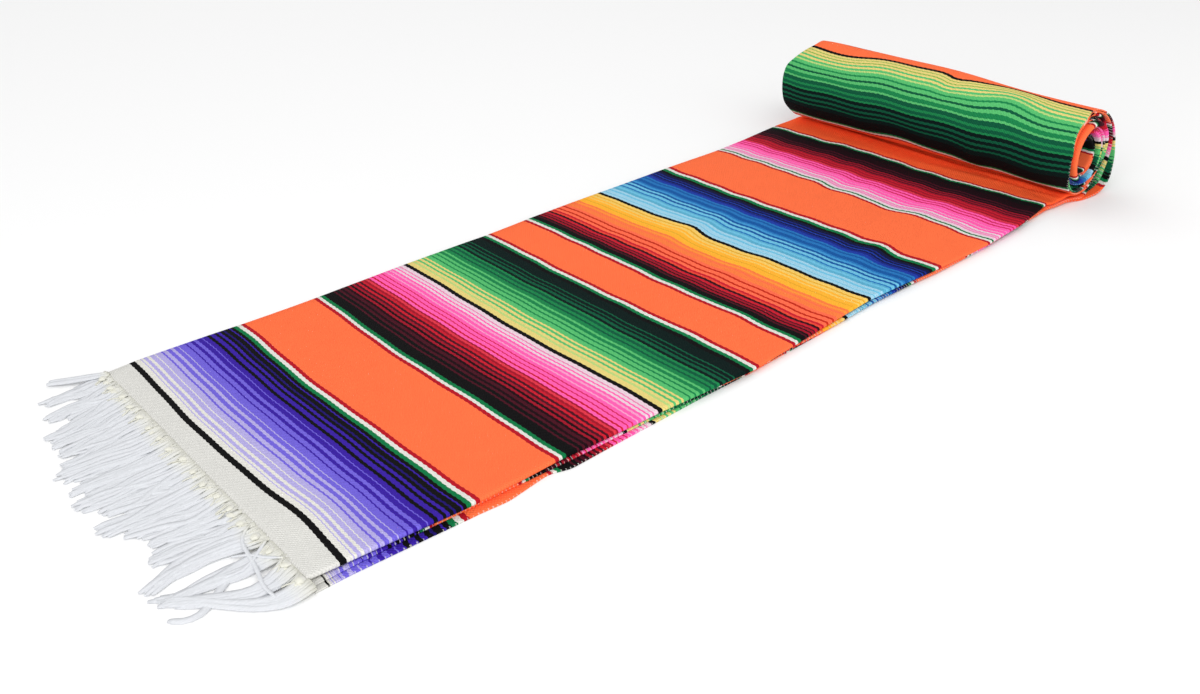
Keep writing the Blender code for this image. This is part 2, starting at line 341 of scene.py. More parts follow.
def shaded(width, shades, swaps=4):
    """A band that passes from shade to shade by stripes: each stripe of the old shade is thinner than
    the one before, and each of the new one is wider, until only the new one is left."""
    steps = (len(shades) - 1) * swaps
    found = []
    for k in range(steps):
        old, new = shades[k // swaps], shades[k // swaps + 1]
        share = (k % swaps + 0.5) / swaps
        found.append((width / steps * (1 - share), old))
        found.append((width / steps * share, new))
    return found


INTO_FIELD = ("trim_green", "white", "trim_red")
PURPLE = [
    *by_turns("white", "lavender", 4.5, 1.0, 1.9, 2.9, 2.9, 4.2, 0.9, 5.0),
    *by_turns("violet", "lavender", 1.5, 3.5, 3.2, 2.8, 3.6, 1.1, 5.6),
    *by_turns("indigo", "violet", 1.2, 4.2, 2.8, 3.0, 4.0, 0.9, 4.4),
    *by_turns("black", "indigo", 2.8, 3.8, 2.6, 2.6, 2.9), (1.9, "deep_indigo"),
    *by_turns("black", "indigo", 4.2, 0.9, 3.2),
]  # fmt: skip
PINK = [
    *by_turns("black", "maroon", 5.2, 2.2, 2.8, 2.4), *by_turns("wine", "maroon", 2.6, 2.8, 2.4),
    *by_turns("dark_red", "wine", 2.4, 2.4, 2.6), *by_turns("maroon", "red", 2.4, 2.6, 2.4, 2.5),
    *by_turns("dark_red", "scarlet", 2.0, 2.6, 2.0), *by_turns("hot_pink", "red", 2.8, 2.2, 3.6),
    *by_turns("crimson", "hot_pink", 1.4, 3.4, 1.2, 3.4),
    *by_turns("light_pink", "hot_pink", 1.6, 3.2, 2.2, 2.4),
    *by_turns("pale_pink", "hot_pink", 2.4, 1.6, 2.8), (1.2, "rose"), (4.3, "pale_pink"),
]  # fmt: skip
GREEN = [
    *by_turns("khaki", "lime", 5.9, 2.2, 3.0),
    *by_turns("light_green", "khaki", 2.5, 2.9, 2.9, 2.0, 5.0),
    *by_turns("green", "light_green", 1.7, 4.1, 2.3, 2.9, 3.7, 2.4, 4.7),
    *by_turns("dark_green", "green", 1.9, 3.3, 2.9, 2.9),
    *by_turns("green_black", "dark_green", 3.2, 3.1, 2.8, 1.2, 4.0, 1.4, 11.7),
]  # fmt: skip
FIRE = [
    *by_turns("black", "maroon", 4.2, 2.6, 2.0), *by_turns("dark_red", "wine", 2.6, 1.6, 2.8),
    *by_turns("maroon", "red", 1.2, 3.6, 1.6), (1.6, "wine"), (2.4, "orange_red"), (2.8, "red"),
    *by_turns("coral", "rust", 4.2, 2.2, 5.2, 2.4, 4.0),
    *by_turns("light_orange", "coral", 6.4, 1.6, 2.4), (2.4, "apricot"), (3.0, "light_orange"),
    *by_turns("amber", "gold", 6.4, 1.8, 4.4), *by_turns("yellow", "amber", 2.0, 2.8, 3.6),
    (1.8, "gold"), (4.4, "yellow"),
]  # fmt: skip
WATER = [
    *by_turns("pale_blue", "sky", 4.4, 1.0, 5.4, 3.0, 3.3), *by_turns("deep_sky", "sky", 4.3, 3.8, 2.4),
    (2.4, "blue"), *by_turns("sky", "strong_blue", 4.3, 3.2, 3.6, 3.2), (3.3, "light_blue"),
    *by_turns("blue", "strong_blue", 2.5, 5.3, 3.9, 2.8, 2.8), (4.4, "royal"), (3.4, "deep_royal"),
    *by_turns("navy", "royal", 2.0, 2.2, 2.4), (1.8, "deep_royal"), (4.9, "navy"),
]  # fmt: skip
SECOND_PINK = [
    (3.6, "pale_pink"), *by_turns("rose", "light_pink", 1.6, 2.4, 1.6), (2.8, "pale_pink"),
    *by_turns("hot_pink", "light_pink", 2.4, 2.4, 4.2, 1.0, 5.0),
    *by_turns("crimson", "hot_pink", 2.0, 3.0, 2.0, 3.0, 2.0), (2.0, "scarlet"),
    *by_turns("dark_red", "red", 3.0, 2.0, 3.0, 2.0, 3.0),
    *by_turns("maroon", "dark_red", 2.0, 2.4, 2.6, 2.0),
    *by_turns("wine", "maroon", 2.6, 2.4, 3.0, 1.6, 11.4),
]  # fmt: skip
ROLL_GREEN = [
    *by_turns("khaki", "leaf", 3.0, 1.6, 3.0, 2.0, 2.8),
    *by_turns("light_green", "khaki", 2.6, 2.6, 2.8), (2.2, "lime"),
    *by_turns("light_green", "green", 4.4, 1.8, 4.2), (2.6, "dark_green"),
    *by_turns("light_green", "green", 3.2, 4.4, 2.4),
    *by_turns("dark_green", "green", 4.6, 2.4, 3.6, 2.2),
    *by_turns("green_black", "dark_green", 3.6, 2.8, 3.4, 2.4, 3.4, 2.0, 6.0),
]  # fmt: skip
PINK_SHADES = ("pale_pink", "hot_pink", "red", "maroon", "black")
GREEN_SHADES = ("black", "dark_green", "light_green", "khaki")
WATER_SHADES = ("navy", "royal", "blue", "sky", "pale_blue")


def stripe_list():
    """Every stripe from the fringed end to the far end, as its width in millimetres and its shade."""
    return [
        (21.5, "cream"), (5.0, "black"), *PURPLE, *field(10.5, 72.0, 10.0), (5.0, "black"), *PINK,
        (4.4, "black"), *GREEN, (5.0, "black"), *field(11.0, 44.5, 11.0), (2.0, "black"), *FIRE,
        (4.5, "black"), *WATER, (4.0, "black"), *field(13.0, 75.0, 9.5), *SECOND_PINK, (7.5, "black"),
        # the field at the roll's foot takes the orange with painted shade, a deeper and redder orange
        *field(9.0, 96.0, 9.0, "orange_with_painted_shade"), *shaded(40.0, GREEN_SHADES, 3),
        (4.4, "black"), *shaded(34.0, PINK_SHADES, 2), *trims(9.0, INTO_FIELD),
        (25.6, "orange"), (4.2, "black"), *ROLL_GREEN, (14.4, "black"), *field(10.5, 40.0, 9.0),
        *shaded(52.0, GREEN_SHADES, 3), (4.4, "black"), *shaded(52.0, PINK_SHADES, 2),
        *field(9.0, 72.0, 9.0), *shaded(50.0, WATER_SHADES, 2), (4.4, "black"),
        *shaded(34.0, GREEN_SHADES, 2), (4.4, "black"), *shaded(64.0, PINK_SHADES, 3),
        (60.0, "black"), *field(9.0, 24.0, 9.0),
        (30.0, "black"), *PURPLE[::-1], (4.8, "black"), (200.0, "cream"),
    ]  # fmt: skip


# The shape of the cloth


def arc_of(turns):
    """The length of cloth wound up to a number of turns: the radius added up round the spiral."""
    angle = 2 * np.pi * np.asarray(turns, float)
    return ROLL_RADIUS * angle - TURN_STEP / (4 * np.pi) * angle**2


def angle_of(along):
    """The angle round the roll at a place along the cloth: arc_of turned round, and nought when flat."""
    slope = TURN_STEP / (2 * np.pi)
    rest = np.maximum(along - ROLL_START, 0)
    return (ROLL_RADIUS - np.sqrt(ROLL_RADIUS**2 - 2 * slope * rest)) / slope


def ease(share):
    """A smooth rise from nought to one."""
    share = np.clip(share, 0, 1)
    return share * share * (3 - 2 * share)


def edge(name, along):
    """Where a layer ends at each place along the cloth: both tables read by straight lines, then
    averaged over a short reach with a bell weight, so that the edge has no corners."""
    flat = np.array(FLAT_EDGES["along"], float) * MM
    wound = ROLL_START + arc_of(ROLL_EDGES["turns"])
    at = np.concatenate([flat, wound])
    value = np.concatenate([FLAT_EDGES.get(name, (0,) * len(flat)), ROLL_EDGES[name]]) * MM
    offset = np.linspace(-1, 1, 9)
    weight = np.cos(offset * np.pi / 2.2) ** 2
    read = np.interp(along[:, None] + offset * EDGE_EASE, at, value)
    return read @ weight / weight.sum()


def fold_section(along, thickness):
    """The four layers across the cloth at each station, as (across, above the underside), one column for
    each place across, and how far each place has slipped along. The bottom layer runs to the back, turns
    round the outer fold into the top layer, which runs to the low edge, turns under into the inner
    layer, goes back, and turns under once more. Bends are half circles. A layer's slip changes evenly
    from its low edge to the back."""
    find = {name: edge(name, along)[:, None] for name in ROLL_EDGES if name != "turns"}
    gap = find["stack"] / LAYERS
    half = thickness / 2
    wide, tight = 1.5 * gap, 0.5 * gap
    back = find["outer_fold"] - half - wide
    inner = back - NEST
    fold = find["top_fold"] + half + FOLD_ROUND
    from_edge = np.append(EDGE_COLUMNS, np.linspace(EVEN_FROM, 1, EVEN_COLUMNS, endpoint=False))
    coarse = np.array(COARSE_COLUMNS)
    bend = np.linspace(-0.5, 0.5, 9)[1:-1] * np.pi
    small_bend = np.linspace(0.5, -0.5, 6)[1:-1] * np.pi
    puff, bulge = find["puff"], find["bulge"]
    top_high, top_low = 3.5 * gap + puff, 2.5 * gap + 0.3 * puff - bulge

    lower, upper = find["lower_selvage"], find["upper_selvage"]
    bottom = lower + from_edge * (back - lower), 0.5 * gap + 0 * from_edge
    turn = back + wide * np.cos(bend), 2 * gap + wide * np.sin(bend)
    across = back + (1 - from_edge[::-1]) * (fold - back)
    top = across, 3.5 * gap + puff * np.exp(-(((across - fold) / PUFF_REACH) ** 2))
    middle, tall = (top_high + top_low) / 2, (top_high - top_low) / 2
    u_turn = fold - (FOLD_ROUND + 0.5 * bulge) * np.cos(bend), middle - tall * np.sin(bend)
    across = fold + coarse * (inner - fold)
    inside = across, 2.5 * gap + (top_low - 2.5 * gap) * np.exp(-(((across - fold) / BULGE_REACH) ** 2))
    small_turn = inner + tight * np.cos(small_bend), 2 * gap + tight * np.sin(small_bend)
    across = upper + coarse[::-1] * (inner - upper)
    third = across, 1.5 * gap + 0 * across
    parts = (bottom, turn, top, u_turn, inside, small_turn, third)
    still = (0, 0)
    slips = (SLIP_BOTTOM, still, still, still, SLIP_INNER, (SLIP_INNER[0],) * 2, SLIP_THIRD)
    shape = [np.stack(np.broadcast_arrays(*part), -1) for part in parts]
    slipped = [
        at_edge + (at_back - at_edge) * np.clip(part[..., 0] / back, 0, 1)
        for part, (at_back, at_edge) in zip(shape, slips)
    ]
    return np.concatenate(shape, 1), np.concatenate(slipped, 1)


def bell(first, second, table):
    """The sum of soft bumps, each with its own middle, two reaches and height, over two coordinates."""
    total = np.zeros(np.broadcast_shapes(first.shape, second.shape))
    for at_first, at_second, reach_first, reach_second, height in table:
        off = ((first - at_first) / reach_first) ** 2 + ((second - at_second) / reach_second) ** 2
        total += height * np.exp(-off)
    return total


def creased(x, y):
    """The lie of the flat stretch's top: a slow unevenness, and the listed creases as bumps with a long and a
    short axis, each turned its own way."""
    a, b = x / MM, y / MM
    total = 0.35 * np.sin(a / 41 + 1.3 * np.sin(b / 67)) * np.sin(b / 53 + 0.8)
    total += 0.25 * np.sin(a / 23 + b / 37)
    for along, across, reach_along, reach_across, turn, height in CREASES:
        c, s = np.cos(np.radians(turn)), np.sin(np.radians(turn))
        first = (a - along) * c + (b - across) * s
        second = (b - across) * c - (a - along) * s
        total += height * np.exp(-((first / reach_along) ** 2) - (second / reach_across) ** 2)
    return total * MM


def swollen(turns, y):
    """How far the roll's cloth stands out: placed swells and a slow unevenness that fades inwards."""
    slow = 0.35 * np.sin(turns * 9 + y / (60 * MM)) * np.sin(y / (47 * MM) + 1)
    return (bell(turns, y / MM, SWELLS) + slow) * MM * np.clip(2.2 - turns, 0.3, 1)


def stripe_drift(x, y):
    """How far a stripe lies along from its straight place, at any point: the sum of the listed bends and of
    sine waves across, on the flat stretch and on the roll, with a smooth change between
    them. The flat stretch's waves grow towards the roll, and the finer one starts only 0.3 m along."""
    flat = bell(x / MM, y / MM, STRIPE_BENDS)
    flat = flat + 0.5 * np.sin(y / (11 * MM) + x / (60 * MM)) * np.clip(0.4 + x, 0, 1)
    flat = flat + 1.1 * np.sin(y / (7 * MM) + 2 * np.sin(x / (38 * MM))) * np.clip(2 * x - 0.6, 0, 1)
    wound = bell((x - ROLL_START) / MM, y / MM, ROLL_BENDS) + 0.9 * np.sin(y / (13 * MM) + x / (30 * MM))
    return (flat + (wound - flat) * ease((x - BENDS_CHANGE) / BENDS_CHANGE_OVER)) * MM


def cloth_surface(thickness, length):
    """The whole blanket as one sheet on a grid of stations along and places across, with each point's
    place in the weave.

    Flat, a point lies at (along, across, above). In the roll it lies at the spiral's radius less its
    height above the underside, on an angle that grows with the wound length, so the underside comes
    outwards. Its place in the weave is its station with the slips added and the drift taken off, and its
    distance across the cloth."""
    ends = (0, FINE_FROM, ROLL_START, ROLL_START + ROLL_IN_SIGHT, length)
    stretches = [np.linspace(*stretch, endpoint=False) for stretch in zip(ends, ends[1:], STATIONS)]
    along = np.append(np.concatenate(stretches), length)
    section, slip = fold_section(along, thickness)
    across, above = section[..., 0], section[..., 1]
    x = np.broadcast_to(along[:, None], across.shape)
    angle = angle_of(along)[:, None]
    stack = edge("stack", along)[:, None]
    lift = creased(x, across) * (above / stack) * ease(x / CREASE_RISE) * ease((ROLL_START - x) / CREASE_FALL)
    flat = above + lift
    radius = ROLL_RADIUS - TURN_STEP * angle / (2 * np.pi)
    radius = radius + np.where(angle < np.pi / 2, LOOSE_BELLY * np.sin(2 * angle) ** 2, 0)
    full = MEAN_SWELL + SWELL_CHANGE * np.tanh((across - SWELL_PLACE) / SWELL_SOFTNESS)
    full = 1 + (full - 1) * ease(angle / FULL_BY)
    turns = angle / (2 * np.pi)
    proud = swollen(turns, across) * ease(turns / SWELL_RISE) * ease((SWELL_END - turns) / SWELL_FALL)
    reach = radius - above + proud
    points = np.stack([
        np.minimum(x, ROLL_START) + reach * np.sin(angle) * full,
        across,
        np.where(x <= ROLL_START, flat, (ROLL_RADIUS - reach * np.cos(angle)) * full),
    ], -1)
    step = np.linalg.norm(np.diff(section[MEASURED_AT], axis=0), axis=-1)
    across_cloth = np.append(0, np.cumsum(step))
    column = np.arange(x.shape[1])
    slipping = ease(x / SLIP_EASE)
    pattern = x + slip * slipping * (1 - (1 - SLIP_KEPT) * ease(turns)) - stripe_drift(x, across)
    pattern = pattern + np.interp(turns, BUNCH_TURNS, BUNCH) * MM * (column >= UPPER_FROM)
    askew = slipping * ease(1 - x / CORNER_REACH) * ease(1 - across / CORNER_REACH)
    pattern = pattern + CORNER_SLIP * askew * (column < LOWEST_TO)
    return points - ORIGIN, np.stack([pattern, np.broadcast_to(across_cloth, x.shape)], -1)


def smooth_mesh(name, points, weave, *faces):
    """A smooth mesh of arrays of faces, with each point's place in the weave as its UV map."""
    mesh = bpy.data.meshes.new(name)
    mesh.from_pydata(points.reshape(-1, 3).tolist(), [], sum([kind.tolist() for kind in faces], []))
    corners = np.concatenate([kind.ravel() for kind in faces])
    layer = mesh.uv_layers.new(name="weave")
    layer.data.foreach_set("uv", weave.reshape(-1, 2)[corners].astype(np.float32).ravel())
    mesh.shade_smooth()
    return mesh


def grid_mesh(name, points, weave):
    """A mesh of the squares of a grid of points."""
    rows, columns = points.shape[:2]
    number = np.arange(rows * columns).reshape(rows, columns)
    squares = np.stack([number[:-1, :-1], number[:-1, 1:], number[1:, 1:], number[1:, :-1]], -1)
    return smooth_mesh(name, points, weave, squares.reshape(-1, 4))


def tube_mesh(name, rings, root_to_tip):
    """Closed tubes through rings of points, given as an array of tube, ring, point around and x, y, z.
    The UV map holds how far along the tube a point is, from root to tip, and how far round."""
    count, stations, around, _ = rings.shape
    number = np.arange(count * stations * around).reshape(count, stations, around)
    here, ahead = number[:, :-1], number[:, 1:]
    walls = np.stack([here, np.roll(here, -1, 2), np.roll(ahead, -1, 2), ahead], -1).reshape(-1, 4)
    caps = np.concatenate([number[:, 0, ::-1], number[:, -1]])
    place = np.stack(np.broadcast_arrays(root_to_tip[..., None], np.arange(around) / around), -1)
    return smooth_mesh(name, rings, place, walls, caps)


def tubes_along(paths, half_widths, half_heights, around=4):
    """Rings round paths that lie nearly flat: each spans upwards and level across its path."""
    ahead = np.gradient(paths, axis=1)
    level = np.stack([-ahead[..., 1], ahead[..., 0], np.zeros(ahead.shape[:-1])], -1)
    level /= np.linalg.norm(level, axis=-1, keepdims=True) + 1e-12
    up = np.cross(ahead, level)
    up /= np.linalg.norm(up, axis=-1, keepdims=True) + 1e-12
    turn = (np.arange(around) + 0.5) * 2 * np.pi / around
    side = np.cos(turn)[:, None] * level[..., None, :] * half_widths[..., None, None]
    rise = np.sin(turn)[:, None] * up[..., None, :] * half_heights[..., None, None]
    return paths[..., None, :] + (side + rise) * np.sqrt(2)


def place_piece(name, mesh, material, slot, *nodes):
    """Puts a finished mesh into the scene as a piece that rides on the frame and stands for its nodes."""
    mesh.materials.append(material)
    piece = bpy.data.objects.new(name, mesh)
    bpy.context.scene.collection.objects.link(piece)
    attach(piece, "root")
    if nodes:
        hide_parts(*nodes)
    return piece


# Materials

RIB = 3.2 * MM  # between two thick warp threads, which show as ribs under the weft
PICK = 1.3 * MM  # between two weft threads; the real one is finer, and this is as fine as shows
SAW = 0.55 * MM  # how far a stripe's edge steps from rib to rib
RAGGED = 0.5 * MM  # how far the yarn's fuzz blurs a stripe's edge
MIDDLE = 762 * MM  # halfway across the weave's own width
SELVAGE = 761.2 * MM  # from there to where the warp's loops show
LOOP_STEP = 3.6 * MM
LOOP_SPARSENESS = 1.85  # the higher, the fewer loops show
BUMP = 0.4 * MM
MOST_STOPS = 30  # of one colour ramp


def maths(tree, operation, *values):
    """The output of a Math node on up to three values."""
    return add(tree, "ShaderNodeMath", dict(enumerate(values)), operation=operation).outputs[0]


def noise(tree, where, scale, detail, roughness):
    """The value of a noise texture."""
    inputs = {"Vector": where, "Scale": scale, "Detail": detail, "Roughness": roughness}
    return add(tree, "ShaderNodeTexNoise", inputs).outputs[0]


def share_between(tree, value, low, high):
    """How far a value has come from one bound to the other, kept from nought to one."""
    return add(tree, "ShaderNodeMapRange", {0: value, 1: low, 2: high, 3: 0.0, 4: 1.0}).outputs[0]


def mixed(tree, share, first, second):
    """A colour between two colours."""
    return add(tree, "ShaderNodeMix", {0: share, 6: first, 7: second}, data_type="RGBA").outputs[2]


def matt_material(name, roughness, specular):
    """A material with a plain matt shader."""
    material = bpy.data.materials.new(name)
    material.use_nodes = True
    shader = material.node_tree.nodes["Principled BSDF"]
    shader.inputs["Roughness"].default_value = roughness
    shader.inputs["Specular IOR Level"].default_value = specular
    return material, shader


def weave_place(tree):
    """A point's place in the weave, whole and as its two coordinates."""
    weave = add(tree, "ShaderNodeUVMap", uv_map="weave").outputs[0]
    parts = add(tree, "ShaderNodeSeparateXYZ", {0: weave})
    return weave, parts.outputs[0], parts.outputs[1]


def toned(tree, colour, value):
    """A colour that a value lightens or darkens."""
    return add(tree, "ShaderNodeHueSaturation", {"Value": value, "Color": colour}).outputs[0]


def cover(shader, tree, colour, height, strength):
    """Gives a shader its colour and bumps of a height."""
    inputs = {"Strength": strength, "Distance": BUMP, "Height": height}
    bump = add(tree, "ShaderNodeBump", inputs).outputs[0]
    tree.links.new(colour, shader.inputs["Base Color"])
    tree.links.new(bump, shader.inputs["Normal"])


def stripe_colour(tree, place, colours):
    """The colour of the stripe that a place along the weave lies in: colour ramps side by side, because
    one ramp holds few stops, and each takes over where it starts."""
    stripes = stripe_list()
    starts = np.append(0, np.cumsum([width for width, _ in stripes])) * MM + (RAGGED + SAW) / 2
    colour = None
    for first in range(0, len(stripes), MOST_STOPS):
        last = min(first + MOST_STOPS, len(stripes))
        low, high = float(starts[first]), float(starts[last])
        chart = add(tree, "ShaderNodeValToRGB", {0: share_between(tree, place, low, high)})
        chart.color_ramp.interpolation = "CONSTANT"
        points = chart.color_ramp.elements
        for k in range(first, last):
            at = (float(starts[k]) - low) / (high - low)
            point = points[0] if k == first else points.new(at)
            point.color = (*colours[stripes[k][1]], 1.0)
        points.remove(points[-1])
        if colour is None:
            colour = chart.outputs[0]
        else:
            colour = mixed(tree, maths(tree, "GREATER_THAN", place, low), colour, chart.outputs[0])
    return colour


def selvage_loops(tree, place, across, blotch):
    """How far the warp's white loops cover the weft: half along both selvages, at uneven steps, and
    elsewhere not at all."""
    outwards = maths(tree, "ABSOLUTE", maths(tree, "SUBTRACT", across, MIDDLE))
    at_edge = maths(tree, "GREATER_THAN", outwards, SELVAGE)
    loop = maths(tree, "SINE", maths(tree, "MULTIPLY", place, 2 * np.pi / LOOP_STEP))
    uneven_loop = maths(tree, "MULTIPLY_ADD", blotch, 2.0, loop)
    shows = maths(tree, "GREATER_THAN", uneven_loop, LOOP_SPARSENESS)
    return maths(tree, "MULTIPLY", at_edge, maths(tree, "MULTIPLY", shows, 0.5))


def weft_faced_acrylic(colours):
    """Weft-faced acrylic: tightly beaten matt yarn over thick warp threads. It gives the eye strong flat
    colours with rope-like stripe edges, fine ribs and a slight fuzz."""
    material, shader = matt_material("weft_faced_acrylic", 0.92, 0.08)
    tree = material.node_tree
    weave, along, across = weave_place(tree)
    fuzz = noise(tree, weave, 420.0, 1.0, 0.5)
    blotch = noise(tree, weave, 60.0, 3.0, 0.6)
    speck = noise(tree, weave, 900.0, 1.0, 0.5)

    saw = maths(tree, "PINGPONG", maths(tree, "MULTIPLY", across, 1 / RIB), 1.0)
    stepped = maths(tree, "MULTIPLY_ADD", saw, SAW, along)
    place = maths(tree, "MULTIPLY_ADD", fuzz, RAGGED, stepped)
    uneven = maths(tree, "MULTIPLY_ADD", blotch, 0.10, 0.95)
    grain = maths(tree, "MULTIPLY_ADD", speck, 0.32, -0.16)

    weft = maths(tree, "SINE", maths(tree, "MULTIPLY", along, np.pi / PICK))
    warp = maths(tree, "SINE", maths(tree, "MULTIPLY", across, 2 * np.pi / RIB))
    height = maths(tree, "MULTIPLY_ADD", fuzz, 1.2, maths(tree, "MULTIPLY", weft, warp))
    weft_colour = toned(tree, stripe_colour(tree, place, colours), maths(tree, "ADD", uneven, grain))
    loops = selvage_loops(tree, place, across, blotch)
    cover(shader, tree, mixed(tree, loops, weft_colour, (*colours["white"], 1.0)), height, 0.7)
    return material


def soft_cotton(name, root, tip, root_end):
    """Unspun cotton warp ends: matt, fluffy and near-white. It gives the eye cream knots that pass into
    cool white strands with fine fibres along them."""
    material, shader = matt_material(name, 0.9, 0.1)
    tree = material.node_tree
    _, from_root, _ = weave_place(tree)
    colour = mixed(tree, share_between(tree, from_root, 0.0, root_end), (*root, 1.0), (*tip, 1.0))
    where = add(tree, "ShaderNodeTexCoord").outputs["Object"]
    drawn = add(tree, "ShaderNodeMapping", {"Vector": where, "Scale": (150.0, 900.0, 500.0)}).outputs[0]
    fibre = noise(tree, drawn, 1.0, 3.0, 0.65)
    value = maths(tree, "MULTIPLY_ADD", fibre, 0.3, 0.86)
    cover(shader, tree, toned(tree, colour, value), fibre, 0.6)
    return material


# The fringe

KNOTS = 18
KNOT_STEP = 21.1 * MM
LAYER_SHIFTS = (0.0, 6.0, -5.0, 1.5)  # how far each layer's knots lie off the even step, in millimetres
KNOT_PLACE = -4.5 * MM
KNOT_LENGTH = 7 * MM
KNOT_RINGS = 9
KNOT_SIDES = 8
THREADS_A_KNOT = 4
THREAD = 1 * MM
LAYER_STEP = 1.6 * MM
STRANDS_A_TASSEL = 8
STRAND_RINGS = 14
STRAND_SIDES = 6
STRAND_SPREAD = (0.75, 1.15)  # the thinnest and the thickest strand, as shares
STRAND_START = 1.0 * MM
SHORTEST = (0.76, 0.76, 0.76, 0.86)  # each layer's shortest strand, as a share of its tassel
CROSSING = 0.36  # the share of the strands that cross their tassel's middle
FLOOR_ROOM = 0.1 * MM
# Where each tassel of the top layer ends, in millimetres, from the low corner to the far one, and how
# far its middle bows sideways
TASSEL_TIPS = (
    (-86, 66, -12), (-83, 58, -13), (-85, 57, 1), (-87, 77, 10), (-71, 103, 2), (-63, 126, 2),
    (-73, 146, 0), (-86, 161, -2), (-76, 184, 0), (-88, 205, 1), (-88, 227, -1), (-87, 253, 0),
    (-78, 266, 0), (-75, 284, 0), (-77, 300, 0), (-74, 318, 0), (-64, 346, 0), (-60, 374, 0),
)  # fmt: skip
# How broad each tassel is past its knot, and how freely its layers lie beside each other, as shares
TASSEL_FULLNESS = (0.5, 0.5, 0.7, 0.75, 0.9) + (1,) * 13
TASSEL_STRAY = (0.2, 0.2, 0.3, 0.3, 0.7) + (1,) * 13
# How broad a strand is at each share of its length, as a share of its full breadth
STRAND_SHARES = (0, 0.1, 0.3, 0.7, 0.93, 1)
STRAND_BREADTHS = (0.8, 0.75, 1, 1, 0.85, 0.5)
# How broad a tassel is at each share of its length, in millimetres
TASSEL_SHARES = (0, 0.09, 0.22, 0.45, 0.7, 0.88, 1)
TASSEL_BREADTHS = (19, 15, 18, 18, 14, 10, 8)
# Strands that have come loose: points in millimetres from root to tip, breadth, height above the floor
# at the tip, and the length over which the strand comes down to it. The first lies under the others, the
# rest on them.
LOOSE_STRANDS = (
    (((-20, 60), (-38, 51), (-54, 38), (-62, 32), (-70, 30), (-78, 34), (-84, 42)), 4.6, 0.5, 12),
    (((-1, 90), (-12, 84), (-16, 70), (-17, 56), (-20, 40), (-24, 24), (-22, 8)), 2.4, 0.9, 30),
    (((0, 66), (-8, 61), (-20, 52), (-32, 50), (-44, 58)), 2.2, 0.9, 30),
    (((0, 38), (-10, 50), (-16, 62), (-28, 70)), 2.0, 0.9, 30),
    (((2, 371), (-12, 382), (-28, 393), (-45, 405)), 5.2, 0.9, 30),
    (((2, 375), (-14, 388), (-30, 399), (-42, 408)), 4.0, 0.9, 30),
)


def knot_row(layer):
    """The places of a layer's knots along the row, a little off the even step so that layers don't line
    up, the more so the freer the tassel is."""
    return (np.arange(KNOTS) + 0.5) * KNOT_STEP + LAYER_SHIFTS[layer] * MM * np.array(TASSEL_STRAY)


def tassel_tips(layer, chance):
    """Where a layer's tassels end, and their bows: the top layer's as given, the others' a little off
    and shorter, the more so the freer the tassel is."""
    tips = np.array(TASSEL_TIPS, float) * MM
    if layer < 3:
        stray = np.array(TASSEL_STRAY)
        tips[:, 0] *= 1 - 0.2 * stray * chance.random(KNOTS)
        tips[:, 1] += 9 * MM * stray * chance.uniform(-1, 1, KNOTS)
    return tips


def strand_paths(layer, chance):
    """The strands of one layer's tassels, as paths from the cloth through the knot to the tip.

    A tassel's middle runs from its knot to its tip on a smooth rise, with its bow as a half wave. Its
    strands spread round the middle by a table of breadths, some cross it, and each wavers as two sine
    waves. They come down from the knot onto the floor."""
    tips = tassel_tips(layer, chance)
    root_y = knot_row(layer)
    tassel = np.repeat(np.arange(KNOTS), STRANDS_A_TASSEL)
    count = len(tassel)
    place = np.tile(np.linspace(-0.5, 0.5, STRANDS_A_TASSEL), KNOTS) + chance.uniform(-0.08, 0.08, count)
    t = np.linspace(0, 1, STRAND_RINGS)
    u = (SHORTEST[layer] + (1 - SHORTEST[layer]) * chance.random(count))[:, None] * t
    x = STRAND_START + (tips[tassel, 0] - STRAND_START)[:, None] * u
    middle = root_y[tassel, None] + (tips[tassel, 1] - root_y[tassel])[:, None] * ease((u - 0.06) / 0.94)
    middle = middle + tips[tassel, 2][:, None] * np.sin(np.pi * u)
    full = 1 - (1 - np.array(TASSEL_FULLNESS)[tassel, None]) * ease(u / 0.3)
    breadth = np.interp(u, TASSEL_SHARES, TASSEL_BREADTHS) * MM * full
    cross = 1 - 1.5 * (chance.random(count) < CROSSING)[:, None] * ease((u - 0.1) * 1.4)
    phase = chance.uniform(0, 6.3, (count, 1))
    waver = (2.2 * np.sin(u * 6 + phase) + 0.9 * np.sin(u * 15 + 2 * phase)) * MM * ease(u * 3) * full
    y = middle + place[:, None] * breadth * cross + waver
    knot_height = (layer + 0.5) * LAYER_STEP
    rest_height = (0.8 + 0.45 * layer + 0.6 * chance.random(count)[:, None]) * MM * (1 - 0.5 * u)
    z = rest_height + (knot_height + 0.4 * MM - rest_height) * np.clip(1 - u / 0.4, 0, 1) ** 1.6
    return np.stack([x, y, z], -1), u


def loose_paths():
    """The loose strands as smooth paths: their points joined by straight lines, averaged over a short
    reach and taken at even steps. They lie on the tassels near the knots and on the floor further
    out."""
    found = []
    for points, _, low, descent in LOOSE_STRANDS:
        points = np.array(points, float) * MM
        run = np.concatenate([[0], np.cumsum(np.linalg.norm(np.diff(points, axis=0), axis=1))]) / MM
        even = np.linspace(0, run[-1], STRAND_RINGS)[:, None] + np.linspace(-7, 7, 9)
        x, y = (np.interp(even, run, points[:, k]).mean(1) for k in (0, 1))
        found.append(np.stack([x, y, low * MM + 6 * MM * np.exp(x / (descent * MM))], -1))
    return np.array(found)


